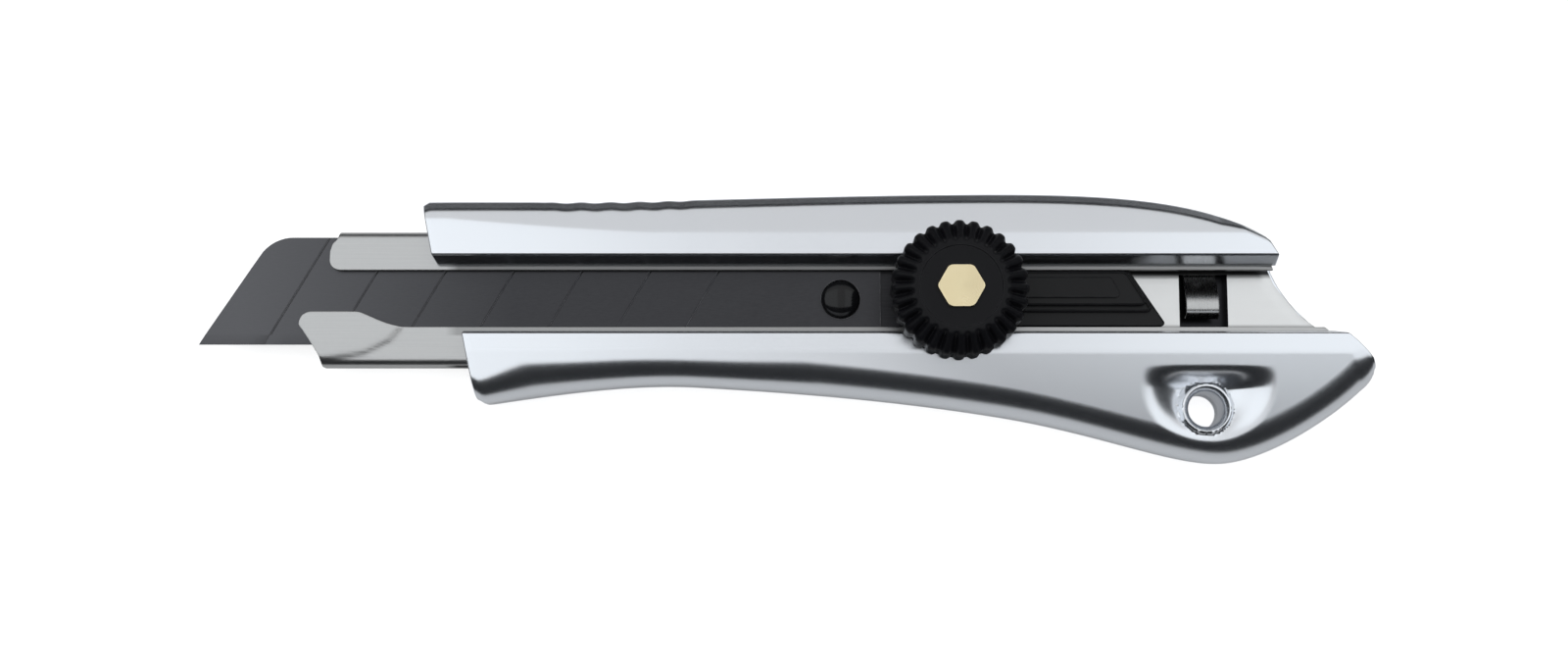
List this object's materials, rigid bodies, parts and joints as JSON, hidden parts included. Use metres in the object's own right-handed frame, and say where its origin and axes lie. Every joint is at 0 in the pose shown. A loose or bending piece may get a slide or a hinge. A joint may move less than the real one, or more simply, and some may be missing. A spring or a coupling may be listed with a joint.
{
  "type": "snap-off utility knife",
  "caption": "Snap-off blade utility knife: die-cast metal handle, stainless blade channel, sliding blade and a screw-down lock wheel with a brass hexagon.",
  "frame": {"origin": "centre of the footprint on the flat back of the handle, with the knife lying on its back", "axes": "+X runs from the blade tip to the butt, +Y from the belly to the spine, +Z from the flat back to the lock wheel"},
  "size_m": [0.194, 0.0448, 0.0209],
  "materials": {
    "plated_casting": "satin plated die casting",
    "stainless_sheet": "fine brushed",
    "rivet_steel": "turned",
    "spring_steel": "polished spring steel",
    "blade_steel": "black oxide, fine ground",
    "blackened_steel": "black oxide",
    "peg_black": "gloss black",
    "slider_plastic": "moulded, satin",
    "wheel_plastic": "moulded, fine grain",
    "zinc_steel": "zinc plated",
    "brass": "turned face"
  },
  "bodies": {
    "handle": {"handle_casting": "plated_casting", "blade_channel": "stainless_sheet", "channel_rivets": "rivet_steel", "spring_rivet": "rivet_steel"},
    "stop": {"stop_spring": "spring_steel"},
    "slider": {"blade": "blade_steel", "blade_carrier": "blackened_steel", "blade_peg": "peg_black", "slider_block": "slider_plastic", "clamp_stud": "zinc_steel"},
    "washers": {"pressure_washer": "zinc_steel", "wave_washer": "spring_steel"},
    "wheel": {"lock_wheel": "wheel_plastic", "wheel_nut": "brass"}
  },
  "joints": [
    {"name": "blade_slide", "type": "slide", "parent": "handle", "child": "slider", "axis": [-1, 0, 0], "range_m": [-0.018, 0.07]},
    {"name": "wheel_lift", "type": "slide", "parent": "slider", "child": "washers", "axis": [0, 0, 1], "range_m": [0, 0.0007]},
    {"name": "wheel_turn", "type": "hinge", "parent": "washers", "child": "wheel", "pos_m": [0.0283, 0.0052, 0.015], "axis": [0, 0, 1], "range_deg": [0, 360]},
    {"name": "stop_spring_press", "type": "hinge", "parent": "handle", "child": "stop", "pos_m": [0.06975, 0.0126, 0.0022], "axis": [1, 0, 0], "range_deg": [0, 7], "stiffness_Nm_per_rad": 0.3}
  ],
  "couplings": [
    {"joint": "wheel_turn", "follows": "wheel_lift", "rad_per_m": 8976}
  ]
}
